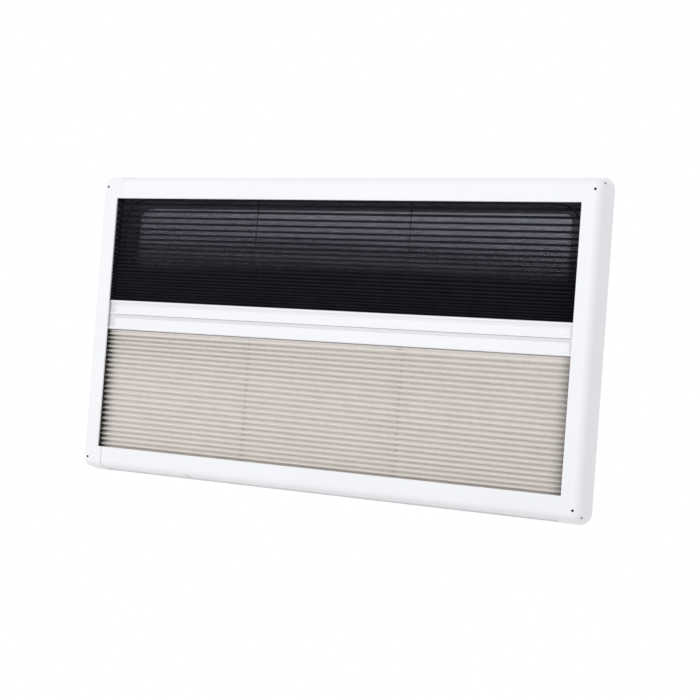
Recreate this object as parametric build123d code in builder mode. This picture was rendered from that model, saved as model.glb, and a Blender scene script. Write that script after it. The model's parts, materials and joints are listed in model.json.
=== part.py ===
"""Caravan window with a pleated insect screen above a pleated blackout blind, in millimetres.

Seen from inside the caravan, +X is to the right and +Z is up. The room is towards -Y and the outside towards
+Y. The wall's inner face is the plane y = 0, and the origin lies on it, in the middle of the bottom rail.
"""

import os
from math import cos, radians, tan

from build123d import *

# Inner frame: two uprights from top to bottom, with the rails between them
opening_w = 858.0
opening_h = 440.0
stile_face = 39.0
rail_face = 43.0
frame_depth = 36.0
flank_lean = 15.0
shoulder_r = 12.0
corner_flat_r = 1.2
flank_skin = 2.5
front_skin = 3.0
back_skin = 3.0
rail_step = 0.8
opening_edge_r = 0.8
corner_reach = 8.0

# Screw posts in the corners, and a slot through each rounded corner
screw_inset = 20.0
screw_hole_r = 2.0
screw_post_r = 4.5
slot_length = 8.0
slot_width = 4.0
slot_depth_y = 22.0

# Guide channels for the sliding bars
guide_skin = 2.0
guide_mouth = 17.0
guide_reach = 9.5
guide_setback = 2.5
guide_end_gap = 18.0

# Sliding bars
bar_clearance = 0.6
bar_end_clearance = 1.0
bar_gap = 0.4
bar_skin = 1.6
blind_bar_h = 26.2
screen_bar_h = 24.4
bar_lip = 4.2
bar_thin_lip = 2.6
bar_top_lip = 3.8
bar_chamfer = 1.0
face_recess = 0.8
screen_band_h = 5.5
blind_band_h = 6.2
band_recess = 2.0
bar_edge_r = 0.3

# Grey caps at the ends of the bars, with a longer tab on the left
cap_plate = 4.0
left_tab_reach = 12.0
right_tab_reach = 5.0
cap_tab_skin = 0.8
cap_plug_length = 10.0
cap_plug_clearance = 0.3
cap_edge_gap = 0.5

# Pleats, and the strips that hold their fixed ends
blind_drop = 208.3
pleat_count = 25
screen_pleat_depth = 13.0
blind_pleat_depth = 11.0
pleat_skin = 1.2
pleat_gap = 0.3
pleat_inset = 3.5
screen_crowding = 0.38
crowding_power = 2.8
strip_h = 4.0
strip_setback = 12.0

# Taut cords that keep the pleats in line
cord_spacing = 286.0
cord_r = 0.8
cord_hole_r = 1.6

# Outer frame: a sleeve through the wall with a flange on the wall's outer face
wall_t = 26.0
sleeve_side_inset = 2.0
sleeve_top_outset = 4.0
sleeve_skin = 5.0
sleeve_corner_r = 43.0
sleeve_nose = 12.0
sleeve_clearance = 0.3
flange_side_reach = 23.0
flange_top_reach = 17.0
flange_t = 3.0
flange_corner_r = 50.0

# Ledge inside the sleeve, and a rubber bead in the sleeve's front edge
ledge_y = 2.5
ledge_t = 3.0
ledge_side_reach = 19.0
ledge_top_reach = 12.0
ledge_corner_r = 2.0
bead_w = 2.2
bead_t = 3.0
bead_clearance = 0.3

# Glazing: a flat outer sheet, and an inner sheet formed as a tray
seal_reach = 7.0
seal_band = 8.0
seal_t = 3.0
pane_lap = 3.0
pane_t = 4.0
tray_gap = 4.0
tray_depth = 22.0
tray_t = 3.0
tray_lean = 10.0
tray_edge_r = 4.5

# Hinge along the top of the glazing
hinge_end_gap = 7.0
hinge_bead_r = 2.5
hinge_clearance = 0.4
hinge_skin = 2.0
hinge_stand_off = 8.0
hinge_strip_h = 20.0
hinge_cap_t = 4.0
hinge_cap_margin = 1.0

# Latches at the bottom of the glazing
latch_x = 260.0
latch_base_w = 44.0
latch_base_h = 20.0
latch_base_t = 10.0
latch_lift = 17.0
lever_w = 14.0
lever_length = 44.0
lever_t = 5.0
lever_drop = 30.0
catch_w = 24.0
catch_h = 10.0
latch_gap = 0.5
latch_edge_r = 1.5
catch_edge_r = 0.6

# Places that follow from the sizes
sill_z = rail_face / 2
head_z = sill_z + opening_h
mid_z = sill_z + opening_h / 2
outer_w = opening_w + 2 * stile_face
outer_h = opening_h + 2 * rail_face
rail_end = opening_w / 2 - corner_reach
flank_run = tan(radians(flank_lean))
skin_run = flank_skin / cos(radians(flank_lean))
shoulder_run = shoulder_r * tan(radians(45 - flank_lean / 2))
corner_r = corner_flat_r + shoulder_run + frame_depth * flank_run
sleeve_w = opening_w - 2 * sleeve_side_inset
sleeve_h = opening_h + 2 * sleeve_top_outset
sleeve_inner_w = sleeve_w - 2 * sleeve_skin
sleeve_inner_h = sleeve_h - 2 * sleeve_skin
sleeve_inner_r = sleeve_corner_r - sleeve_skin
sleeve_seat_w = sleeve_w + 2 * sleeve_clearance
sleeve_seat_h = sleeve_h + 2 * sleeve_clearance
sleeve_seat_r = sleeve_corner_r + sleeve_clearance
screw_x = opening_w / 2 + screw_inset
screw_levels = (sill_z - screw_inset, head_z + screw_inset)
guide_front = frame_depth - front_skin
guide_depth = guide_mouth + 2 * guide_skin
guide_x = opening_w / 2 + guide_setback
channel_front = guide_front - guide_skin
bar_front = channel_front - bar_clearance
bar_depth = guide_mouth - 2 * bar_clearance
bar_mid_y = -(bar_front - bar_depth / 2)
cap_end = guide_x + guide_reach - bar_end_clearance
bar_end = cap_end - cap_plate
blind_bar_z = sill_z + blind_drop
screen_bar_z = blind_bar_z + blind_bar_h + bar_gap
screen_bar_top = screen_bar_z + screen_bar_h
foot_top = sill_z - strip_setback
strip_bottom = head_z + strip_setback
pleat_half_w = opening_w / 2 + pleat_inset
cord_x = cord_spacing / 2
flange_w = sleeve_w + 2 * flange_side_reach
flange_h = sleeve_h + 2 * flange_top_reach
flange_y = wall_t + flange_t
seal_w = sleeve_w + 2 * seal_reach
seal_h = sleeve_h + 2 * seal_reach
seal_corner_r = sleeve_corner_r + seal_reach
pane_w = seal_w + 2 * pane_lap
pane_h = seal_h + 2 * pane_lap
pane_corner_r = seal_corner_r + pane_lap
pane_y = flange_y + seal_t
pane_back = pane_y + pane_t
tray_front = pane_y - tray_depth
tray_w = sleeve_inner_w - 2 * tray_gap
tray_h = sleeve_inner_h - 2 * tray_gap
tray_corner_r = sleeve_inner_r - tray_gap
ledge_w = sleeve_inner_w - 2 * ledge_side_reach
ledge_h = sleeve_inner_h - 2 * ledge_top_reach
rebate_w = bead_w + bead_clearance

os.makedirs("parts", exist_ok=True)


def save(piece, name):
    """Labels a finished piece and writes it under its name."""
    piece.part.label = name
    export_step(piece.part, f"parts/{name}.step")


def side_word(side):
    """The word for the left or right hand, seen from the room."""
    return "right" if side > 0 else "left"


# Uprights: a hollow rounded block cut down to one side of the frame
def make_block(inset, back, front, edge_r):
    with BuildPart() as block:
        with BuildSketch(Plane.XZ.offset(back)):
            with Locations((0, mid_z)):
                RectangleRounded(outer_w - 2 * inset, outer_h - 2 * inset, corner_r - inset)
        extrude(amount=front - back, taper=flank_lean)
        fillet(block.faces().sort_by(Axis.Y)[0].edges(), edge_r)
    return block


def make_stile(side):
    outside = make_block(0, 0, frame_depth, shoulder_r)
    hollow_inset = back_skin * flank_run + skin_run
    hollow = make_block(hollow_inset, back_skin, frame_depth - front_skin, shoulder_r - front_skin)
    with BuildPart() as stile:
        add(outside.part)
        add(hollow.part, mode=Mode.SUBTRACT)
        with BuildSketch(Plane.XZ.offset(back_skin)):
            with Locations((0, mid_z)):
                Rectangle(opening_w, opening_h)
        extrude(amount=frame_depth, mode=Mode.SUBTRACT)
        with BuildSketch(Plane.XZ):
            with Locations((0, mid_z)):
                RectangleRounded(sleeve_seat_w, sleeve_seat_h, sleeve_seat_r)
        extrude(amount=back_skin, mode=Mode.SUBTRACT)
        rim = stile.faces().sort_by(Axis.Y)[0].inner_wires()[0]
        fillet(rim.edges(), opening_edge_r)
        split(bisect_by=Plane.YZ.offset(side * rail_end), keep=Keep.TOP if side > 0 else Keep.BOTTOM)
        with BuildSketch(Plane.XZ):
            with Locations(*[(side * screw_x, z) for z in screw_levels]):
                Circle(screw_post_r)
        extrude(amount=frame_depth - front_skin)
        with BuildSketch(Plane.XZ):
            with Locations(*[(side * screw_x, z) for z in screw_levels]):
                Circle(screw_hole_r)
        extrude(amount=frame_depth, mode=Mode.SUBTRACT)
        for z, up in zip(screw_levels, (-1, 1)):
            corner = Plane(origin=(side * screw_x, -slot_depth_y, z), x_dir=(0, 1, 0), z_dir=(side, 0, up))
            with BuildSketch(corner.offset(screw_post_r)):
                SlotOverall(slot_length, slot_width)
            extrude(amount=corner_r, mode=Mode.SUBTRACT)
    return stile


# Rails: one open section, a small step lower than the uprights
def make_rail(opening_edge, up):
    reach = rail_face - rail_step
    depth = frame_depth - rail_step
    inside = depth - front_skin
    outer_end = -1 if up > 0 else 0
    section = Plane(origin=(0, 0, opening_edge), x_dir=(0, 0, up), z_dir=(up, 0, 0))
    with BuildPart() as rail:
        with BuildSketch(section):
            with BuildLine():
                Polyline(
                    (0, depth),
                    (reach - depth * flank_run, depth),
                    (reach, 0),
                    (0, 0),
                    (0, back_skin),
                    (reach - back_skin * flank_run - skin_run, back_skin),
                    (reach - inside * flank_run - skin_run, inside),
                    (0, inside),
                    close=True,
                )
            make_face()
        extrude(amount=rail_end, both=True)
        shoulder = rail.edges().filter_by(Axis.X).filter_by_position(Axis.Y, -depth, -depth)
        fillet(shoulder.sort_by(Axis.Z)[outer_end], shoulder_r)
        hollow_edge = rail.edges().filter_by(Axis.X).filter_by_position(Axis.Y, -inside, -inside)
        fillet(hollow_edge.sort_by(Axis.Z)[outer_end], shoulder_r - front_skin)
        with BuildSketch(Plane.XZ):
            with Locations((0, opening_edge)):
                inward = Align.MAX if up > 0 else Align.MIN
                Rectangle(2 * rail_end, sleeve_seat_r, align=(Align.CENTER, inward))
        extrude(amount=back_skin)
        with BuildSketch(Plane.XZ):
            with Locations((0, mid_z)):
                RectangleRounded(sleeve_seat_w, sleeve_seat_h, sleeve_seat_r)
        extrude(amount=back_skin, mode=Mode.SUBTRACT)
        rim = rail.edges().filter_by(Axis.X).filter_by_position(Axis.Z, opening_edge, opening_edge)
        fillet(rim.sort_by(Axis.Y)[0], opening_edge_r)
    return rail


# Guides: black channels behind the uprights' inner edges
def make_guide(side):
    with BuildPart() as guide:
        with BuildSketch(Plane.XY.offset(sill_z - guide_end_gap)):
            with Locations((side * guide_x, -(guide_front - guide_depth / 2))):
                outward = Align.MIN if side > 0 else Align.MAX
                Rectangle(guide_reach + guide_skin, guide_depth, align=(outward, Align.CENTER))
                Rectangle(guide_reach, guide_mouth, align=(outward, Align.CENTER), mode=Mode.SUBTRACT)
        extrude(amount=opening_h + 2 * guide_end_gap)
    return guide


# Strips inside the rails that hold the fixed ends of the pleats and the cords
def make_strip(bottom):
    front = frame_depth - rail_step - front_skin
    with BuildPart() as strip:
        with BuildSketch(Plane.XY.offset(bottom)):
            with Locations((0, -back_skin)):
                Rectangle(2 * rail_end, front - back_skin, align=(Align.CENTER, Align.MAX))
        extrude(amount=strip_h)
    return strip


# Pleats: a zigzag sheet whose folds can crowd towards its lower end
def make_pleats(bottom, top, depth, crowding):
    height = top - bottom - 2 * pleat_gap
    front_y = bar_mid_y - depth / 2
    back_y = bar_mid_y + depth / 2 - pleat_skin
    room_side = []
    for i in range(2 * pleat_count + 1):
        share = i / (2 * pleat_count)
        level = bottom + pleat_gap + height * (share - crowding * (share - share**crowding_power))
        room_side.append((back_y if i % 2 else front_y, level))
    pane_side = [(y + pleat_skin, z) for y, z in reversed(room_side)]
    with BuildPart() as pleats:
        with BuildSketch(Plane.YZ):
            with BuildLine():
                Polyline(*room_side, *pane_side, close=True)
            make_face()
        extrude(amount=pleat_half_w, both=True)
        with BuildSketch(Plane.XY.offset(bottom)):
            with Locations((-cord_x, bar_mid_y), (cord_x, bar_mid_y)):
                Circle(cord_hole_r)
        extrude(amount=top - bottom, mode=Mode.SUBTRACT)
    return pleats


def make_cord(side):
    with BuildPart() as cord:
        with BuildSketch(Plane.XY.offset(foot_top)):
            with Locations((side * cord_x, bar_mid_y)):
                Circle(cord_r)
        extrude(amount=strip_bottom - foot_top)
    return cord


# Bars: hollow sections, drawn as depth behind the front and height above the bar's lower edge
def bar_plane(bottom):
    return Plane(origin=(0, -bar_front, bottom), x_dir=(0, 1, 0), z_dir=(1, 0, 0))


def tab_length(side):
    return bar_end - opening_w / 2 + (right_tab_reach if side > 0 else left_tab_reach)


def make_bar(outline, bottom, height, face_low, face_high):
    hollow_front = band_recess + bar_skin
    hollow_back = bar_depth - bar_skin
    with BuildPart() as bar:
        with BuildSketch(bar_plane(bottom)):
            with BuildLine():
                Polyline(*outline, close=True)
            make_face()
        extrude(amount=bar_end, both=True)
        fillet(bar.edges().filter_by(Axis.X).group_by(Axis.Y)[0], bar_edge_r)
        with BuildSketch(bar_plane(bottom)):
            with Locations(((hollow_front + hollow_back) / 2, height / 2)):
                Rectangle(hollow_back - hollow_front, height - 2 * bar_skin)
        extrude(amount=bar_end, both=True, mode=Mode.SUBTRACT)
        for side in (-1, 1):
            with BuildSketch(bar_plane(bottom).offset(side * bar_end)):
                with Locations((0, face_low)):
                    Rectangle(band_recess, face_high - face_low, align=Align.MIN)
            extrude(amount=-side * tab_length(side), mode=Mode.SUBTRACT)
        with BuildSketch(Plane.XY.offset(bottom)):
            with Locations((-cord_x, bar_mid_y), (cord_x, bar_mid_y)):
                Circle(cord_hole_r)
        extrude(amount=height, mode=Mode.SUBTRACT)
    return bar


def make_cap(side, bottom, height, face_low, face_high):
    tab_front = band_recess - cap_tab_skin
    hollow_front = band_recess + bar_skin + cap_plug_clearance
    hollow_back = bar_depth - bar_skin - cap_plug_clearance
    hollow_edge = bar_skin + cap_plug_clearance
    with BuildPart() as cap:
        with BuildSketch(bar_plane(bottom).offset(side * bar_end)):
            with Locations((tab_front, cap_edge_gap)):
                Rectangle(bar_depth - tab_front, height - 2 * cap_edge_gap, align=Align.MIN)
        extrude(amount=side * cap_plate)
        with BuildSketch(bar_plane(bottom).offset(side * bar_end)):
            with Locations((tab_front, face_low)):
                Rectangle(cap_tab_skin, face_high - face_low, align=Align.MIN)
        extrude(amount=-side * tab_length(side))
        with BuildSketch(bar_plane(bottom).offset(side * bar_end)):
            with Locations((hollow_front, hollow_edge)):
                Rectangle(hollow_back - hollow_front, height - 2 * hollow_edge, align=Align.MIN)
        extrude(amount=-side * cap_plug_length)
    return cap


# Frame
for side in (-1, 1):
    save(make_stile(side), f"{side_word(side)}_stile")
    save(make_guide(side), f"{side_word(side)}_guide")
    save(make_cord(side), f"{side_word(side)}_cord")
save(make_rail(sill_z, -1), "bottom_rail")
save(make_rail(head_z, 1), "top_rail")
save(make_strip(strip_bottom), "screen_head")
save(make_strip(foot_top - strip_h), "blind_foot")

# Pleats
save(make_pleats(foot_top, blind_bar_z, blind_pleat_depth, 0), "blackout_blind")
save(make_pleats(screen_bar_top, strip_bottom, screen_pleat_depth, screen_crowding), "insect_screen")

# Blind bar: a lip along the bottom, a flat face and a sunk band at the top
blind_face = (bar_lip, blind_bar_h)
blind_band = blind_bar_h - blind_band_h
blind_outline = [
    (bar_chamfer, 0),
    (0, bar_chamfer),
    (0, bar_lip),
    (face_recess, bar_lip),
    (face_recess, blind_band),
    (band_recess, blind_band),
    (band_recess, blind_bar_h),
    (bar_depth, blind_bar_h),
    (bar_depth, 0),
]
save(make_bar(blind_outline, blind_bar_z, blind_bar_h, *blind_face), "blind_bar")

# Screen bar: a thin lip along the bottom, a flat face, a sunk band and a lip along the top
screen_face = (bar_thin_lip, screen_bar_h - bar_top_lip)
screen_band = screen_bar_h - bar_top_lip - screen_band_h
screen_outline = [
    (0, 0),
    (0, bar_thin_lip),
    (face_recess, bar_thin_lip),
    (face_recess, screen_band),
    (band_recess, screen_band),
    (band_recess, screen_bar_h - bar_top_lip),
    (0, screen_bar_h - bar_top_lip),
    (0, screen_bar_h - bar_chamfer),
    (bar_chamfer, screen_bar_h),
    (bar_depth, screen_bar_h),
    (bar_depth, 0),
]
save(make_bar(screen_outline, screen_bar_z, screen_bar_h, *screen_face), "screen_bar")

for side in (-1, 1):
    hand = side_word(side)
    save(make_cap(side, blind_bar_z, blind_bar_h, *blind_face), f"blind_bar_{hand}_cap")
    save(make_cap(side, screen_bar_z, screen_bar_h, *screen_face), f"screen_bar_{hand}_cap")

# Outer frame
with BuildPart() as outer_frame:
    with BuildSketch(Plane.XZ.offset(-flange_y)):
        with Locations((0, mid_z)):
            RectangleRounded(sleeve_w, sleeve_h, sleeve_corner_r)
    extrude(amount=flange_y + sleeve_nose)
    with BuildSketch(Plane.XZ.offset(-flange_y)):
        with Locations((0, mid_z)):
            RectangleRounded(flange_w, flange_h, flange_corner_r)
    extrude(amount=flange_t)
    with BuildSketch(Plane.XZ.offset(-flange_y)):
        with Locations((0, mid_z)):
            RectangleRounded(sleeve_inner_w, sleeve_inner_h, sleeve_inner_r)
    extrude(amount=flange_y + sleeve_nose, mode=Mode.SUBTRACT)
    with BuildSketch(Plane.XZ.offset(sleeve_nose - bead_t)):
        with Locations((0, mid_z)):
            RectangleRounded(
                sleeve_inner_w + 2 * rebate_w,
                sleeve_inner_h + 2 * rebate_w,
                sleeve_inner_r + rebate_w,
            )
    extrude(amount=bead_t, mode=Mode.SUBTRACT)
    with BuildSketch(Plane.XZ.offset(-ledge_y - ledge_t)):
        with Locations((0, mid_z)):
            RectangleRounded(sleeve_inner_w + sleeve_skin, sleeve_inner_h + sleeve_skin, sleeve_corner_r)
            RectangleRounded(ledge_w, ledge_h, ledge_corner_r, mode=Mode.SUBTRACT)
    extrude(amount=ledge_t)
save(outer_frame, "outer_frame")

# Rubber bead, flush in the sleeve's front edge
with BuildPart() as bead:
    with BuildSketch(Plane.XZ.offset(sleeve_nose - bead_t)):
        with Locations((0, mid_z)):
            RectangleRounded(sleeve_inner_w + 2 * bead_w, sleeve_inner_h + 2 * bead_w, sleeve_inner_r + bead_w)
            RectangleRounded(sleeve_inner_w, sleeve_inner_h, sleeve_inner_r, mode=Mode.SUBTRACT)
    extrude(amount=bead_t)
save(bead, "sleeve_bead")

# Seal between the flange and the glazing
with BuildPart() as seal:
    with BuildSketch(Plane.XZ.offset(-pane_y)):
        with Locations((0, mid_z)):
            RectangleRounded(seal_w, seal_h, seal_corner_r)
            RectangleRounded(
                seal_w - 2 * seal_band,
                seal_h - 2 * seal_band,
                seal_corner_r - seal_band,
                mode=Mode.SUBTRACT,
            )
    extrude(amount=seal_t)
save(seal, "glazing_seal")

# Outer sheet of the glazing
with BuildPart() as outer_pane:
    with BuildSketch(Plane.XZ.offset(-pane_back)):
        with Locations((0, mid_z)):
            RectangleRounded(pane_w, pane_h, pane_corner_r)
    extrude(amount=pane_t)
save(outer_pane, "outer_pane")

# Inner sheet of the glazing, a shallow tray bonded to the outer sheet by its rim
tray_skin_run = tray_t / cos(radians(tray_lean))
with BuildPart() as inner_pane:
    with BuildSketch(Plane.XZ.offset(-pane_y)):
        with Locations((0, mid_z)):
            RectangleRounded(tray_w, tray_h, tray_corner_r)
    extrude(amount=tray_depth, taper=tray_lean)
    fillet(inner_pane.faces().sort_by(Axis.Y)[0].edges(), tray_edge_r)
    with BuildSketch(Plane.XZ.offset(-pane_y)):
        with Locations((0, mid_z)):
            RectangleRounded(
                tray_w - 2 * tray_skin_run,
                tray_h - 2 * tray_skin_run,
                tray_corner_r - tray_skin_run,
            )
    extrude(amount=tray_depth - tray_t, taper=tray_lean, mode=Mode.SUBTRACT)
    fillet(inner_pane.faces().filter_by(Axis.Y).sort_by(Axis.Y)[1].edges(), tray_edge_r - tray_t)
save(inner_pane, "inner_pane")

# Hinge: a bead hung from the flange, and a hook around it that carries the glazing
pane_top = mid_z + pane_h / 2
hinge_w = pane_w - 2 * hinge_end_gap
hook_inner_r = hinge_bead_r + hinge_clearance
hook_outer_r = hook_inner_r + hinge_skin
bead_y = flange_y + hinge_stand_off
bead_z = pane_top + hook_outer_r + hinge_clearance
arm_top = bead_z + hook_outer_r + hinge_clearance + hinge_skin
with BuildPart() as hinge_rail:
    with BuildSketch(Plane.YZ):
        with Locations((flange_y, bead_z - hook_outer_r)):
            Rectangle(hinge_skin, arm_top - bead_z + hook_outer_r, align=Align.MIN)
        with Locations((flange_y, arm_top - hinge_skin)):
            Rectangle(hinge_stand_off + hinge_skin / 2, hinge_skin, align=Align.MIN)
        with Locations((bead_y, bead_z)):
            Rectangle(hinge_skin, arm_top - bead_z, align=(Align.CENTER, Align.MIN))
            Circle(hinge_bead_r)
    extrude(amount=hinge_w / 2, both=True)
save(hinge_rail, "hinge_rail")

hook_slot = hinge_skin + 2 * hinge_clearance
with BuildPart() as sash_hook:
    with BuildSketch(Plane.YZ):
        with Locations((bead_y, bead_z)):
            Circle(hook_outer_r)
        with Locations((pane_back, pane_top - hinge_strip_h)):
            Rectangle(hinge_skin, bead_z - pane_top + hinge_strip_h, align=Align.MIN)
        with Locations((bead_y, bead_z)):
            Circle(hook_inner_r, mode=Mode.SUBTRACT)
            Rectangle(hook_slot, 2 * hook_outer_r, align=(Align.CENTER, Align.MIN), mode=Mode.SUBTRACT)
    extrude(amount=hinge_w / 2, both=True)
save(sash_hook, "sash_hook")

for side in (-1, 1):
    with BuildPart() as hinge_cap:
        with BuildSketch(Plane.YZ.offset(side * hinge_w / 2)):
            with Locations((flange_y, bead_z - hook_outer_r)):
                cap_y = bead_y - flange_y + hook_outer_r + hinge_cap_margin
                cap_z = arm_top - bead_z + hook_outer_r + hinge_cap_margin
                Rectangle(cap_y, cap_z, align=Align.MIN)
        extrude(amount=side * hinge_cap_t)
        fillet(hinge_cap.edges().filter_by(Axis.X).group_by(Axis.Y)[-1], hinge_skin)
    save(hinge_cap, f"hinge_{side_word(side)}_cap")

# Latches: a base and a lever on the inner sheet, and a catch on the ledge behind the lever's end
tray_bottom = mid_z - tray_h / 2
sleeve_floor = mid_z - sleeve_inner_h / 2
base_front = tray_front - latch_base_t
catch_front = base_front + latch_gap
for side in (-1, 1):
    hand = side_word(side)
    with BuildPart() as latch_base:
        with BuildSketch(Plane.XZ.offset(-tray_front)):
            with Locations((side * latch_x, tray_bottom + latch_lift)):
                RectangleRounded(latch_base_w, latch_base_h, latch_base_h / 3, align=(Align.CENTER, Align.MIN))
        extrude(amount=latch_base_t)
        fillet(latch_base.faces().sort_by(Axis.Y)[0].edges(), latch_edge_r)
    save(latch_base, f"{hand}_latch_base")

    with BuildPart() as lever:
        with BuildSketch(Plane.XZ.offset(-base_front)):
            with Locations((side * latch_x, tray_bottom + latch_lift + latch_base_h / 2)):
                with Locations((0, lever_length / 2 - lever_drop)):
                    SlotOverall(lever_length, lever_w, rotation=90)
        extrude(amount=lever_t)
        fillet(lever.faces().sort_by(Axis.Y)[0].edges(), latch_edge_r)
    save(lever, f"{hand}_latch_lever")

    with BuildPart() as catch:
        with BuildSketch(Plane.XZ.offset(-ledge_y)):
            with Locations((side * latch_x, sleeve_floor)):
                Rectangle(catch_w, catch_h, align=(Align.CENTER, Align.MIN))
        extrude(amount=ledge_y - catch_front)
        fillet(catch.edges().filter_by(Axis.X).group_by(Axis.Z)[-1].sort_by(Axis.Y)[0], catch_edge_r)
    save(catch, f"{hand}_latch_catch")
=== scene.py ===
"""Caravan window seen from the room, in metres: its finishes, pleated cloths, light and camera."""

import json
from math import asin, cos, pi, radians, sin

import bpy
import numpy as np
from mathutils import Matrix, Vector


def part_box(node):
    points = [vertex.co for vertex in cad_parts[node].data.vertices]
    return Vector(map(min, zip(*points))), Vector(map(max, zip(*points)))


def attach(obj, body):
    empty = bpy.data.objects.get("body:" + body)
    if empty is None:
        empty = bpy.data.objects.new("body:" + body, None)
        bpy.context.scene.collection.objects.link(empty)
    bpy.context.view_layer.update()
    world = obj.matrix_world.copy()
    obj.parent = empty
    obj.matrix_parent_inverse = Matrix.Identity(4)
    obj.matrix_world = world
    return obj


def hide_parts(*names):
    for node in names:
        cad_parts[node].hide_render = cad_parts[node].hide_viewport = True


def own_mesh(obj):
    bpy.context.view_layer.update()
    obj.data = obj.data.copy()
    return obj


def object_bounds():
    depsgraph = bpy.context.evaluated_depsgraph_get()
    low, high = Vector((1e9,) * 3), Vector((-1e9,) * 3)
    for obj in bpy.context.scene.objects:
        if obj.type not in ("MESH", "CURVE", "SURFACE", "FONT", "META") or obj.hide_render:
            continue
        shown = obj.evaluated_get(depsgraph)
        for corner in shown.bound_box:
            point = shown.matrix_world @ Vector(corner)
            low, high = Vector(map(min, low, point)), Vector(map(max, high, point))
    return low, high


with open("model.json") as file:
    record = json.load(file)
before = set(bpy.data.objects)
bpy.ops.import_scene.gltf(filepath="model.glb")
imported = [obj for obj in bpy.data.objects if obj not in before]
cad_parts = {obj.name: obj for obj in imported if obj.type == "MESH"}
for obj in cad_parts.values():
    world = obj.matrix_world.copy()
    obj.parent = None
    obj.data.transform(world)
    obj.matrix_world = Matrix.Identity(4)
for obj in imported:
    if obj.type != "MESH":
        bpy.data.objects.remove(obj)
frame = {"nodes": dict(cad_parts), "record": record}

MM = 0.001
nodes = frame["nodes"]
cad_box = [list(corner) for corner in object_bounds()]
scene = bpy.context.scene

# Camera, as the photograph was taken: from the right, a little below the window's middle, and rolled a
# little. Its angles are in degrees.
LENS_MM = 73.81
SENSOR_MM = 36.0
CAMERA_PLACE = (1.1274, -2.0866, 0.1679)
CAMERA_AZIMUTH = 27.541
CAMERA_LOOK_UP = 1.258
CAMERA_ROLL = 4.274

# Light and floor. The floor turns white between the two distances of its fade.
WORLD_LIGHT = 0.85
WORLD_TINT = (0.98, 0.99, 1.0, 1)
KEY_PLACE = (-0.8, -3.0, 1.1)
KEY_SIZE = 2.0
KEY_WATTS = 23.0
FLOOR_DROP = 0.6
FLOOR_RADIUS = 8.0
FLOOR_SIDES = 96
FLOOR_FADE = (0.25, 0.85)

# Pleats: the folds lie in turn at the front and at the back of the cloth, and each wanders a little up and
# down. The screen's pleats are crowded towards its bar, and the blind's are a little taller in the middle.
PLEATS = 25
FOLDS = 2 * PLEATS + 1
SCREEN_CROWDING = 0.38
CROWDING_POWER = 2.8
BLIND_SWELL = 0.06
FOLD_WANDER = 0.12 * MM
WANDER_WAVES = 3

# Both cloths hang a little higher on the left. Under its bar the blind's top fold is tucked back.
TILT = {"insect_screen": 2.3 * MM, "blackout_blind": 5.1 * MM}
TILT_POWER = {"insect_screen": 0.6, "blackout_blind": 1.5}
TUCK_FOLDS = (48.0, 48.9, 49.45, 50.0)
TUCK_RIDGE = (1.0, -0.15, 0.75, -0.2)

# Insect screen: threads along the window (weft), and threads that follow the pleats (warp)
WEFT_THREAD = 0.53 * MM
WEFTS_PER_FACE = 8
WARP_THREAD = 0.68 * MM
WARP_PITCH = 1.8 * MM
WEFT_STEPS = 12
THREAD_SIDES = 3

# Blackout blind: thin cloth with rounded folds and a row of punched holes for each cord. Its points lie
# closer together at the folds and at the holes.
CLOTH_THICKNESS = 0.3 * MM
FOLD_SHARPNESS = 0.985
FACE_STEPS = (0, 0.03, 0.08, 0.18, 0.37, 0.42, 0.46, 0.5, 0.54, 0.58, 0.63, 0.82, 0.92, 0.97)
BLIND_COLUMNS = 31
CORD_HOLE_RADIUS = 1.1 * MM
HOLE_COLUMNS = (-1.0, -0.7, -0.25, 0.25, 0.7, 1.0)

# Weave of the blind and braid of the cords. A wave texture at scale 1 has waves of this length.
WAVE_LENGTH = 0.1 * pi
WEAVE_PITCH = 0.7 * MM
WEAVE_DEPTH = 0.02 * MM
BRAID_SCALE = 260.0
BRAID_DEPTH = 0.1 * MM

# Outer frame: the depth of the thin lip inside its sleeve, and the share of light that the lip lets through
LIP_MIDDLE = 4.0 * MM
LIP_HALF = 1.6 * MM
LIP_CLEARNESS = 0.6

# Bars: how far the sunk bands lie behind a bar's front, and how near to that depth the painted shade lies
BAND_DEPTH = 2.0 * MM
BAND_HALF = 0.5 * MM

# Screw holes: the painted shade inside them reaches just past the hole's wall
HOLE_MARGIN = 1.04

# Bottom rail: painted shade that fades out from the lower edge, a darker strip that fades out from the left
# seam, and a ragged scuff
EDGE_SHADE_FADE = (1.8 * MM, 5.5 * MM)
EDGE_SHADE_SHARE = 0.95
SEAM_FADE = (0.3 * MM, 1.3 * MM)
SEAM_SHARE = 0.36
SCUFF_PLACE = (-242.0 * MM, -14.5 * MM)
SCUFF_HALF = (8.0 * MM, 4.5 * MM)
SCUFF_FADE = (0.3, 1.0)
SCUFF_RAGGED = 0.3
SCUFF_SHARE = 0.7


# Small helpers for materials
def new_material(name, **sockets):
    """A material, its node tree and its shader, with constant values set on the shader's own sockets."""
    made = bpy.data.materials.new(name)
    made.use_nodes = True
    shader = made.node_tree.nodes["Principled BSDF"]
    for socket, value in sockets.items():
        shader.inputs[socket.replace("_", " ")].default_value = value
    return made, made.node_tree, shader


def feed(tree, socket, value):
    """Links an input to a socket, or sets it to a value."""
    if isinstance(value, bpy.types.NodeSocket):
        tree.links.new(value, socket)
    else:
        socket.default_value = value


def add(tree, kind, inputs=None, **settings):
    """A new node with its settings made and its inputs fed."""
    made = tree.nodes.new("ShaderNode" + kind)
    for name, value in settings.items():
        setattr(made, name, value)
    for name, value in (inputs or {}).items():
        feed(tree, made.inputs[name], value)
    return made


def maths(tree, operation, first, second=0.0):
    return add(tree, "Math", {0: first, 1: second}, operation=operation).outputs[0]


def off(tree, value, middle):
    """How far a value lies from a middle value, to either side."""
    return maths(tree, "ABSOLUTE", maths(tree, "SUBTRACT", value, middle))


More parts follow.
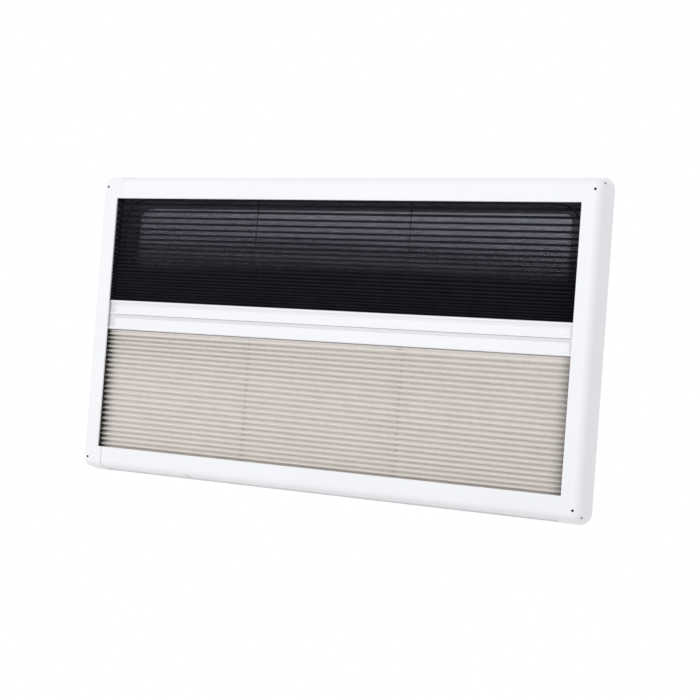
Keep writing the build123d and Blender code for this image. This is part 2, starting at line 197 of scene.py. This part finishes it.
def distance(tree, first, second):
    """The distance that two offsets, at right angles to each other, make together."""
    squares = [maths(tree, "MULTIPLY", offset, offset) for offset in (first, second)]
    return maths(tree, "SQRT", maths(tree, "ADD", *squares))


def place(tree, stretch=(1, 1, 1)):
    """The surface's own place in metres, stretched along the axes."""
    here = add(tree, "TexCoord").outputs["Object"]
    return add(tree, "Mapping", {"Vector": here, "Scale": stretch}).outputs[0]


def split_place(tree):
    """The surface's own X, Y and Z in metres."""
    return add(tree, "SeparateXYZ", {0: place(tree)}).outputs


def noise(tree, where, scale, detail=3.0):
    return add(tree, "TexNoise", {"Vector": where, "Scale": scale, "Detail": detail}).outputs["Fac"]


def between(tree, value, low, high, start=0.3, end=0.7):
    """The value's range from start to end, spread from low to high."""
    ranges = {"Value": value, "From Min": start, "From Max": end, "To Min": low, "To Max": high}
    return add(tree, "MapRange", ranges).outputs[0]


def blend_colours(tree, share, first, second):
    """The first colour where the share is 0, and the second where it is 1."""
    made = add(tree, "Mix", data_type="RGBA")
    for socket, value in ((made.inputs[0], share), (made.inputs[6], first), (made.inputs[7], second)):
        feed(tree, socket, value)
    return made.outputs[2]


def bump(tree, shader, height, depth):
    made = add(tree, "Bump", {"Height": height, "Distance": depth, "Strength": 1.0})
    tree.links.new(made.outputs[0], shader.inputs["Normal"])


def seen_plainly(tree):
    """1 for rays from the camera, and for those that a glossy or clear surface sends on."""
    ray = add(tree, "LightPath").outputs
    seen = maths(tree, "MAXIMUM", ray["Is Camera Ray"], ray["Is Glossy Ray"])
    return maths(tree, "MAXIMUM", seen, ray["Is Transmission Ray"])


def grey(level, blue=0.0):
    return (level, level, level + blue, 1.0)


# Tones: a pair for each finish that blends two of them, and single ones for painted shade, a painted
# highlight and a scuff
WHITE = grey(1.0)
FRAME_WHITE = (0.9, 0.905, 0.925, 1), (0.885, 0.89, 0.91, 1)
# One tone for the bottom rail's painted shade along its lower edge, its darker seam strip and its scuff
RAIL_SHADE_AND_SCUFF = grey(0.5, 0.01)
HOLE_SHADE = grey(0.02)
BAR_WHITE = (0.9, 0.905, 0.93, 1), (0.88, 0.885, 0.905, 1)
# Painted shade in the bars' sunk bands, deeper on the blind bar
SCREEN_BAR_BAND_SHADE = grey(0.84, 0.01)
BLIND_BAR_BAND_SHADE = grey(0.76, 0.01)
CAP_GREY = grey(0.8, 0.02), grey(0.77, 0.02)
GUIDE_BLACK = grey(0.045), grey(0.06)
# The guides' grey is painted light in their shaded channels
GUIDE_PAINTED_LIGHT = grey(0.24), grey(0.36)
OUTER_GREY = (0.78, 0.805, 0.78, 1), (0.8, 0.82, 0.8, 1)
SEAL_BLACK = grey(0.014), grey(0.025)
HINGE_BLACK = grey(0.03), grey(0.055)
ACRYLIC_TINT = (0.835, 0.84, 0.91, 1), (0.81, 0.815, 0.885, 1)
BLIND_BEIGE = (0.845, 0.805, 0.765, 1), (0.82, 0.78, 0.74, 1)
BLIND_RIDGE_HIGHLIGHT = (0.86, 0.825, 0.785, 1)
THREAD_BLACK = (0.007, 0.007, 0.015, 1), (0.013, 0.013, 0.026, 1)
CORD_DARK = grey(0.008), grey(0.018)
CORD_PALE = (0.66, 0.63, 0.6, 1), (0.78, 0.75, 0.71, 1)
FLOOR_PALE = grey(0.85), grey(0.83)


# Finishes
def satin_plastic(name, tones, roughness, grain):
    """Moulded plastic: faint cloudy tone, uneven gloss and a fine grain."""
    made, tree, shader = new_material(name, Specular_IOR_Level=0.45)
    where = place(tree)
    cloud = between(tree, noise(tree, where, scale=9.0), 0, 1)
    tree.links.new(blend_colours(tree, cloud, *tones), shader.inputs["Base Color"])
    gloss = between(tree, noise(tree, where, scale=60.0), roughness - 0.05, roughness + 0.05)
    tree.links.new(gloss, shader.inputs["Roughness"])
    bump(tree, shader, noise(tree, where, scale=1400.0, detail=2.0), grain)
    return made


def screw_holes(tree, split):
    """1 inside the screw holes of the record's bolt pattern, and 0 elsewhere."""
    mounts = {mount["name"]: mount for mount in frame["record"]["mounts"]}
    middle_x, _, middle_z = mounts["frame_screws"]["pos_m"]
    sizes = mounts["frame_screws"]["dims"]
    across = maths(tree, "SUBTRACT", off(tree, split["X"], middle_x), sizes["spacing_x_mm"] * MM / 2)
    upward = maths(tree, "SUBTRACT", off(tree, split["Z"], middle_z), sizes["spacing_y_mm"] * MM / 2)
    return maths(tree, "LESS_THAN", distance(tree, across, upward), sizes["hole_r_mm"] * MM * HOLE_MARGIN)


def rail_shade_and_scuff(tree, split):
    """The share of the darker tone on the bottom rail: painted shade along its lower edge, a darker strip
    beside its left seam, and the scuff.
    """
    low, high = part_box("bottom_rail")
    # Painted shade along the rail's lower edge, which faces down
    edge = between(tree, maths(tree, "SUBTRACT", split["Z"], low.z), EDGE_SHADE_SHARE, 0, *EDGE_SHADE_FADE)
    on_rail = maths(tree, "LESS_THAN", maths(tree, "ABSOLUTE", split["X"]), high.x)
    edge = maths(tree, "MULTIPLY", edge, on_rail)
    seam = between(tree, off(tree, split["X"], low.x), SEAM_SHARE, 0, *SEAM_FADE)
    seam = maths(tree, "MULTIPLY", seam, maths(tree, "LESS_THAN", split["Z"], high.z))
    offsets = [
        maths(tree, "DIVIDE", maths(tree, "SUBTRACT", split[axis], middle), half)
        for axis, middle, half in zip("XZ", SCUFF_PLACE, SCUFF_HALF)
    ]
    uneven = between(tree, noise(tree, place(tree), scale=400.0), -SCUFF_RAGGED, SCUFF_RAGGED)
    ragged = maths(tree, "ADD", distance(tree, *offsets), uneven)
    scuff = between(tree, ragged, SCUFF_SHARE, 0, *SCUFF_FADE)
    return maths(tree, "MAXIMUM", maths(tree, "MAXIMUM", edge, seam), scuff)


def frame_plastic():
    """White frame: painted shade in the screw holes, and on the bottom rail painted shade along its lower
    edge, a darker strip by its seam and a scuff.
    """
    made = satin_plastic("frame_white", FRAME_WHITE, roughness=0.36, grain=0.02 * MM)
    tree = made.node_tree
    base = tree.nodes["Principled BSDF"].inputs["Base Color"]
    clean = base.links[0].from_socket
    split = split_place(tree)
    shaded_and_scuffed = blend_colours(tree, rail_shade_and_scuff(tree, split), clean, RAIL_SHADE_AND_SCUFF)
    # The screw holes are painted dark: painted shade inside them
    tree.links.new(blend_colours(tree, screw_holes(tree, split), shaded_and_scuffed, HOLE_SHADE), base)
    return made


def painted_bar():
    """White paint on drawn metal: streaks of gloss along the bar, a fine skin, and painted shade in the sunk
    bands.
    """
    made, tree, shader = new_material("bar_white", Specular_IOR_Level=0.5)
    streaks = noise(tree, place(tree, stretch=(1.5, 60, 60)), scale=8.0)
    paint = blend_colours(tree, between(tree, streaks, 0, 1), *BAR_WHITE)
    split = split_place(tree)
    low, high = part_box("blind_bar")
    # The sunk bands are painted darker: painted shade under the lips above them
    in_band = maths(tree, "LESS_THAN", off(tree, split["Y"], low.y + BAND_DEPTH), BAND_HALF)
    in_blind_bar = maths(tree, "LESS_THAN", split["Z"], high.z)
    dust_and_shade = blend_colours(tree, in_blind_bar, SCREEN_BAR_BAND_SHADE, BLIND_BAR_BAND_SHADE)
    tree.links.new(blend_colours(tree, in_band, paint, dust_and_shade), shader.inputs["Base Color"])
    tree.links.new(between(tree, streaks, 0.28, 0.4), shader.inputs["Roughness"])
    bump(tree, shader, noise(tree, place(tree), scale=900.0, detail=2.0), depth=0.012 * MM)
    return made


def grained(name, tones, roughness, grain, scale):
    """Plastic or rubber with a spark-eroded grain and dusty patches."""
    made, tree, shader = new_material(name, Specular_IOR_Level=0.4)
    where = place(tree)
    dust_and_shade = between(tree, noise(tree, where, scale=25.0, detail=5.0), 0, 1, start=0.45, end=0.8)
    tree.links.new(blend_colours(tree, dust_and_shade, *tones), shader.inputs["Base Color"])
    gloss = between(tree, noise(tree, where, scale=80.0), roughness - 0.06, roughness + 0.06)
    tree.links.new(gloss, shader.inputs["Roughness"])
    cells = add(tree, "TexVoronoi", {"Vector": where, "Scale": scale}, feature="SMOOTH_F1")
    bump(tree, shader, cells.outputs["Distance"], grain)
    return made


def outer_plastic():
    """Pale outer frame: its thin inner lip lets some of the daylight through."""
    made = grained("outer_grey", OUTER_GREY, roughness=0.55, grain=0.05 * MM, scale=1100.0)
    tree = made.node_tree
    shader = tree.nodes["Principled BSDF"]
    in_lip = maths(tree, "LESS_THAN", off(tree, split_place(tree)["Y"], LIP_MIDDLE), LIP_HALF)
    tree.links.new(maths(tree, "MULTIPLY", in_lip, LIP_CLEARNESS), shader.inputs["Transmission Weight"])
    return made


def anodised():
    """Black anodised extrusion with fine lines along it."""
    made, tree, shader = new_material("hinge_black", Metallic=0.6)
    lines = noise(tree, place(tree, stretch=(1, 900, 900)), scale=1.0)
    tone = blend_colours(tree, between(tree, lines, 0, 1), *HINGE_BLACK)
    tree.links.new(tone, shader.inputs["Base Color"])
    tree.links.new(between(tree, lines, 0.3, 0.45), shader.inputs["Roughness"])
    bump(tree, shader, lines, depth=0.02 * MM)
    return made


def tinted_acrylic():
    """Grey acrylic sheet: clear, glossy, and very slightly wavy as formed sheets are."""
    made, tree, shader = new_material("tinted_acrylic", Transmission_Weight=1.0, IOR=1.49, Roughness=0.0)
    where = place(tree)
    cloud = between(tree, noise(tree, where, scale=3.0), 0, 1)
    tree.links.new(blend_colours(tree, cloud, *ACRYLIC_TINT), shader.inputs["Base Color"])
    bump(tree, shader, noise(tree, where, scale=6.0, detail=1.0), depth=0.05 * MM)
    return made


def blind_cloth():
    """Beige coated cloth: fine weave, slight mottling, and a painted highlight along the pressed front folds.
    """
    made, tree, shader = new_material(
        "blind_fabric", Roughness=0.85, Specular_IOR_Level=0.2, Sheen_Weight=0.15, Sheen_Roughness=0.5
    )
    mottle = between(tree, noise(tree, place(tree), scale=35.0, detail=5.0), 0, 1)
    tone = blend_colours(tree, mottle, *BLIND_BEIGE)
    # Painted highlight: the cloth is paler along its front folds
    ridge = add(tree, "Attribute", attribute_name="ridge").outputs["Fac"]
    ridge_highlight = between(tree, ridge, 0, 0.5, start=0.75, end=1.0)
    tree.links.new(blend_colours(tree, ridge_highlight, tone, BLIND_RIDGE_HIGHLIGHT), shader.inputs["Base Color"])
    cloth = add(tree, "UVMap", uv_map="cloth").outputs[0]
    weave = {"Vector": cloth, "Scale": WAVE_LENGTH / WEAVE_PITCH}
    threads = [add(tree, "TexWave", weave, bands_direction=way).outputs["Fac"] for way in ("X", "Y")]
    bump(tree, shader, maths(tree, "ADD", *threads), WEAVE_DEPTH)
    return made


def screen_thread():
    """Black coated thread, a little greyer here and there."""
    made, tree, shader = new_material("screen_mesh", Roughness=0.6, Specular_IOR_Level=0.3)
    fade = between(tree, noise(tree, place(tree), scale=40.0), 0, 1)
    tree.links.new(blend_colours(tree, fade, *THREAD_BLACK), shader.inputs["Base Color"])
    return made


def braided_cord():
    """Braided cord, with slanted bands both ways round: dark in the screen, and pale in the blind."""
    made, tree, shader = new_material("cord", Roughness=0.8)
    bands = []
    for way in (1, -1):
        slant = {"Vector": place(tree, stretch=(way, way, 1)), "Scale": BRAID_SCALE}
        bands.append(add(tree, "TexWave", slant, bands_direction="DIAGONAL").outputs["Fac"])
    braid = maths(tree, "MULTIPLY", *bands)
    dark = blend_colours(tree, braid, *CORD_DARK)
    pale = blend_colours(tree, braid, *CORD_PALE)
    above = maths(tree, "GREATER_THAN", split_place(tree)["Z"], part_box("blind_bar")[1].z)
    tree.links.new(blend_colours(tree, above, pale, dark), shader.inputs["Base Color"])
    bump(tree, shader, braid, BRAID_DEPTH)
    return made


finishes = {
    "frame_white": frame_plastic(),
    "bar_white": painted_bar(),
    "cap_grey": satin_plastic("cap_grey", CAP_GREY, roughness=0.5, grain=0.03 * MM),
    "guide_black": grained("guide_black", GUIDE_BLACK, roughness=0.5, grain=0.03 * MM, scale=1500.0),
    "outer_grey": outer_plastic(),
    "seal_rubber": grained("seal_rubber", SEAL_BLACK, roughness=0.75, grain=0.02 * MM, scale=700.0),
    "hinge_black": anodised(),
    "tinted_acrylic": tinted_acrylic(),
    "blind_fabric": blind_cloth(),
    "screen_mesh": screen_thread(),
    "cord": braided_cord(),
}
# The guides are of the same black plastic, painted grey: painted light in their deep, shaded channels
lightened_guide = grained("guide_black_painted_light", GUIDE_PAINTED_LIGHT, roughness=0.6, grain=0.03 * MM, scale=1500.0)
own_finish = {"left_guide": lightened_guide, "right_guide": lightened_guide}
for subpart in frame["record"]["subparts"]:
    solid = nodes[subpart["node"]]
    solid.data.materials.clear()
    solid.data.materials.append(own_finish.get(subpart["node"], finishes[subpart["material_slot"]]))


# Pleated cloths
class Pleats:
    """The shape of a pleated cloth that fills a node's box. A fold number runs from 0 at the bottom."""

    def __init__(self, node, levels, seed):
        low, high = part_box(node)
        self.half_width = high.x
        self.depth = (high.y - low.y) / 2
        self.middle_y = (low.y + high.y) / 2
        self.levels = low.z + (high.z - low.z) * levels
        waves = np.random.default_rng(seed).normal(0, FOLD_WANDER, (WANDER_WAVES, FOLDS))
        waves[:, [0, -1]] = 0
        self.waves = waves
        self.tilt = TILT[node] * np.sin(pi * np.linspace(0, 1, FOLDS) ** TILT_POWER[node])

    def points(self, x, fold, sharpness, tucked=False):
        """Points of the cloth for each x and fold number, as one row for each fold number, and its ridges."""
        folds = np.arange(FOLDS)
        ridge = np.arcsin(sharpness * np.cos(pi * fold)) / asin(sharpness)
        if tucked:
            ridge = np.where(fold < TUCK_FOLDS[0], ridge, np.interp(fold, TUCK_FOLDS, TUCK_RIDGE))
        level = np.interp(fold, folds, self.levels)[:, None] + np.zeros_like(x)[None, :]
        across = (x + self.half_width) / (2 * self.half_width)
        level += np.interp(fold, folds, self.tilt)[:, None] * (1 - 2 * across)[None, :]
        for order, wave in enumerate(self.waves):
            level += np.interp(fold, folds, wave)[:, None] * np.cos((order + 0.5) * pi * across)[None, :]
        grid = np.zeros((len(fold), len(x), 3))
        grid[..., 0] = x[None, :]
        grid[..., 1] = self.middle_y - self.depth * ridge[:, None]
        grid[..., 2] = level
        return grid, ridge


def add_piece(name, points, faces, slot, node):
    """A piece on the fixed frame that is shown in place of a node."""
    mesh = bpy.data.meshes.new(name)
    mesh.from_pydata(points.reshape(-1, 3).tolist(), [], faces)
    mesh.shade_smooth()
    mesh.materials.append(finishes[slot])
    piece = bpy.data.objects.new(name, mesh)
    scene.collection.objects.link(piece)
    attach(piece, "window_frame")
    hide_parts(node)
    return piece


def threads_around(lines, thickness, first_axis):
    """Corner points and faces of thin closed threads along lines, given as threads by points by xyz."""
    count, steps = lines.shape[:2]
    turns = 2 * pi * np.arange(THREAD_SIDES) / THREAD_SIDES
    radius = thickness * pi / (2 * THREAD_SIDES * sin(pi / THREAD_SIDES))
    ring = radius * (np.outer(np.cos(turns), first_axis) + np.outer(np.sin(turns), (0, 0, 1)))
    points = lines[:, :, None, :] + ring
    faces = []
    for thread in range(count):
        start = thread * steps * THREAD_SIDES
        end = start + (steps - 1) * THREAD_SIDES
        for step in range(start, end, THREAD_SIDES):
            for side in range(THREAD_SIDES):
                here, beside = step + side, step + (side + 1) % THREAD_SIDES
                faces.append((here, beside, beside + THREAD_SIDES, here + THREAD_SIDES))
        faces.append(tuple(start + side for side in reversed(range(THREAD_SIDES))))
        faces.append(tuple(end + side for side in range(THREAD_SIDES)))
    return points.reshape(-1, 3), faces


def cord_middle():
    """The right cord's x and y. The left cord is its mirror image."""
    low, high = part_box("right_cord")
    return (low.x + high.x) / 2, (low.y + high.y) / 2


def make_screen():
    """The insect screen and its length: real threads, so that it is clear face on and closes up edge on."""
    share = np.linspace(0, 1, FOLDS)
    pleats = Pleats("insect_screen", share - SCREEN_CROWDING * (share - share**CROWDING_POWER), seed=4)
    edge = pleats.half_width - WARP_THREAD
    along = np.linspace(-edge, edge, WEFT_STEPS + 1)
    faces_of_cloth = np.arange(FOLDS - 1)[:, None]
    weft_folds = (faces_of_cloth + (np.arange(WEFTS_PER_FACE) + 0.5) / WEFTS_PER_FACE).ravel()
    weft, _ = pleats.points(along, weft_folds, sharpness=1.0)
    cord_x, _ = cord_middle()
    pitch = cord_x / round(cord_x / WARP_PITCH)
    right = (np.arange(int(edge / pitch - 0.5) + 1) + 0.5) * pitch
    across = np.concatenate([-right[::-1], right])
    warp, _ = pleats.points(across, np.arange(FOLDS, dtype=float), sharpness=1.0)
    weft_points, weft_faces = threads_around(weft, WEFT_THREAD, (0, 1, 0))
    warp_points, warp_faces = threads_around(warp.transpose(1, 0, 2), WARP_THREAD, (1, 0, 0))
    shifted = [tuple(corner + len(weft_points) for corner in face) for face in warp_faces]
    points = np.concatenate([weft_points, warp_points])
    piece = add_piece("insect_screen_threads", points, weft_faces + shifted, "screen_mesh", "insect_screen")
    length = float(np.linalg.norm(np.diff(warp[:, 0], axis=0), axis=1).sum())
    return piece, length


def make_blind():
    """The blackout blind and its length: one thin cloth with rounded folds, punched where the cords pass."""
    share = np.linspace(0, 1, FOLDS)
    pleats = Pleats("blackout_blind", share - BLIND_SWELL / (2 * pi) * np.sin(2 * pi * share), seed=7)
    cord_x, cord_y = cord_middle()
    columns = set(np.linspace(-pleats.half_width, pleats.half_width, BLIND_COLUMNS))
    for middle in (-cord_x, cord_x):
        columns |= {middle + CORD_HOLE_RADIUS * part for part in HOLE_COLUMNS}
    x = np.array(sorted(columns))
    rows = np.array([face + step for face in range(FOLDS - 1) for step in FACE_STEPS] + [FOLDS - 1.0])
    points, ridge = pleats.points(x, rows, FOLD_SHARPNESS, tucked=True)
    centres = (points[1:, 1:] + points[:-1, :-1]) / 2
    off_cord = np.hypot(np.abs(centres[..., 0]) - cord_x, centres[..., 1] - cord_y)
    wide = len(x)
    kept = np.argwhere(off_cord > CORD_HOLE_RADIUS)
    first = kept[:, 0] * wide + kept[:, 1]
    faces = np.stack([first, first + 1, first + wide + 1, first + wide], axis=1).tolist()
    piece = add_piece("blackout_blind_cloth", points, faces, "blind_fabric", "blackout_blind")
    run = np.concatenate([[0], np.linalg.norm(np.diff(points[:, 0], axis=0), axis=1).cumsum()])
    mesh = piece.data
    corners = np.zeros(len(mesh.loops), int)
    mesh.loops.foreach_get("vertex_index", corners)
    flat = np.stack([np.tile(x, len(rows)), np.repeat(run, wide)], axis=1)
    mesh.uv_layers.new(name="cloth").data.foreach_set("uv", flat[corners].astype(np.float32).ravel())
    crest = mesh.attributes.new("ridge", "FLOAT", "POINT")
    crest.data.foreach_set("value", np.repeat(ridge, wide).astype(np.float32))
    skin = piece.modifiers.new("cloth_thickness", "SOLIDIFY")
    skin.thickness = CLOTH_THICKNESS
    skin.offset = 0
    return piece, float(run[-1])


screen, screen_length = make_screen()
blind, blind_length = make_blind()


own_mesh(screen)
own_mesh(blind)


# Light, floor and camera
def make_world():
    """White where it is seen, and an even soft light on the object."""
    world = bpy.data.worlds.new("studio")
    world.use_nodes = True
    tree = world.node_tree
    tree.nodes.clear()
    light = add(tree, "Background", {"Color": WORLD_TINT, "Strength": WORLD_LIGHT}).outputs[0]
    white = add(tree, "Background", {"Color": WHITE, "Strength": 1.0}).outputs[0]
    mixed = add(tree, "MixShader", {0: seen_plainly(tree), 1: light, 2: white}).outputs[0]
    tree.links.new(mixed, add(tree, "OutputWorld").inputs["Surface"])
    scene.world = world


def make_key():
    """One wide soft lamp in the room, above the window and to its left."""
    lamp = bpy.data.lights.new("key", "AREA")
    lamp.size = KEY_SIZE
    lamp.energy = KEY_WATTS
    key = bpy.data.objects.new("key", lamp)
    target = Vector((0, 0, (cad_box[0][2] + cad_box[1][2]) / 2))
    key.location = KEY_PLACE
    key.rotation_euler = (target - key.location).to_track_quat("-Z", "Y").to_euler()
    scene.collection.objects.link(key)


def make_floor():
    """A pale floor that keeps the window's soft shadow and turns white away from it."""
    turns = [2 * pi * corner / FLOOR_SIDES for corner in range(FLOOR_SIDES)]
    corners = [(FLOOR_RADIUS * cos(turn), FLOOR_RADIUS * sin(turn), 0) for turn in turns]
    mesh = bpy.data.meshes.new("floor")
    mesh.from_pydata(corners, [], [tuple(range(FLOOR_SIDES))])
    floor = bpy.data.objects.new("floor", mesh)
    floor.location.z = cad_box[0][2] - FLOOR_DROP
    scene.collection.objects.link(floor)
    made, tree, shader = new_material("floor", Roughness=0.9)
    where = place(tree)
    speck = between(tree, noise(tree, where, scale=14.0), 0, 1)
    tree.links.new(blend_colours(tree, speck, *FLOOR_PALE), shader.inputs["Base Color"])
    away = add(tree, "VectorMath", {0: where}, operation="LENGTH").outputs["Value"]
    share = maths(tree, "MULTIPLY", seen_plainly(tree), between(tree, away, 0, 1, *FLOOR_FADE))
    white = add(tree, "Emission", {"Color": WHITE, "Strength": 1.0}).outputs[0]
    mixed = add(tree, "MixShader", {0: share, 1: shader.outputs[0], 2: white}).outputs[0]
    tree.links.new(mixed, tree.nodes["Material Output"].inputs["Surface"])
    mesh.materials.append(made)


def make_camera():
    """The camera, turned by its azimuth, its look upwards and its roll."""
    azimuth, up_angle, roll = (radians(angle) for angle in (CAMERA_AZIMUTH, CAMERA_LOOK_UP, CAMERA_ROLL))
    forward = Vector((-sin(azimuth) * cos(up_angle), cos(azimuth) * cos(up_angle), sin(up_angle)))
    level_right = Vector((cos(azimuth), sin(azimuth), 0))
    level_up = level_right.cross(forward)
    right = level_right * cos(roll) + level_up * sin(roll)
    up = level_up * cos(roll) - level_right * sin(roll)
    lens = bpy.data.cameras.new("camera")
    lens.lens = LENS_MM
    lens.sensor_width = SENSOR_MM
    camera = bpy.data.objects.new("camera", lens)
    turn = Matrix((right, up, -forward)).transposed().to_4x4()
    camera.matrix_world = Matrix.Translation(CAMERA_PLACE) @ turn
    scene.collection.objects.link(camera)
    scene.camera = camera


make_world()
make_key()
make_floor()
make_camera()
scene.view_settings.view_transform = "Standard"
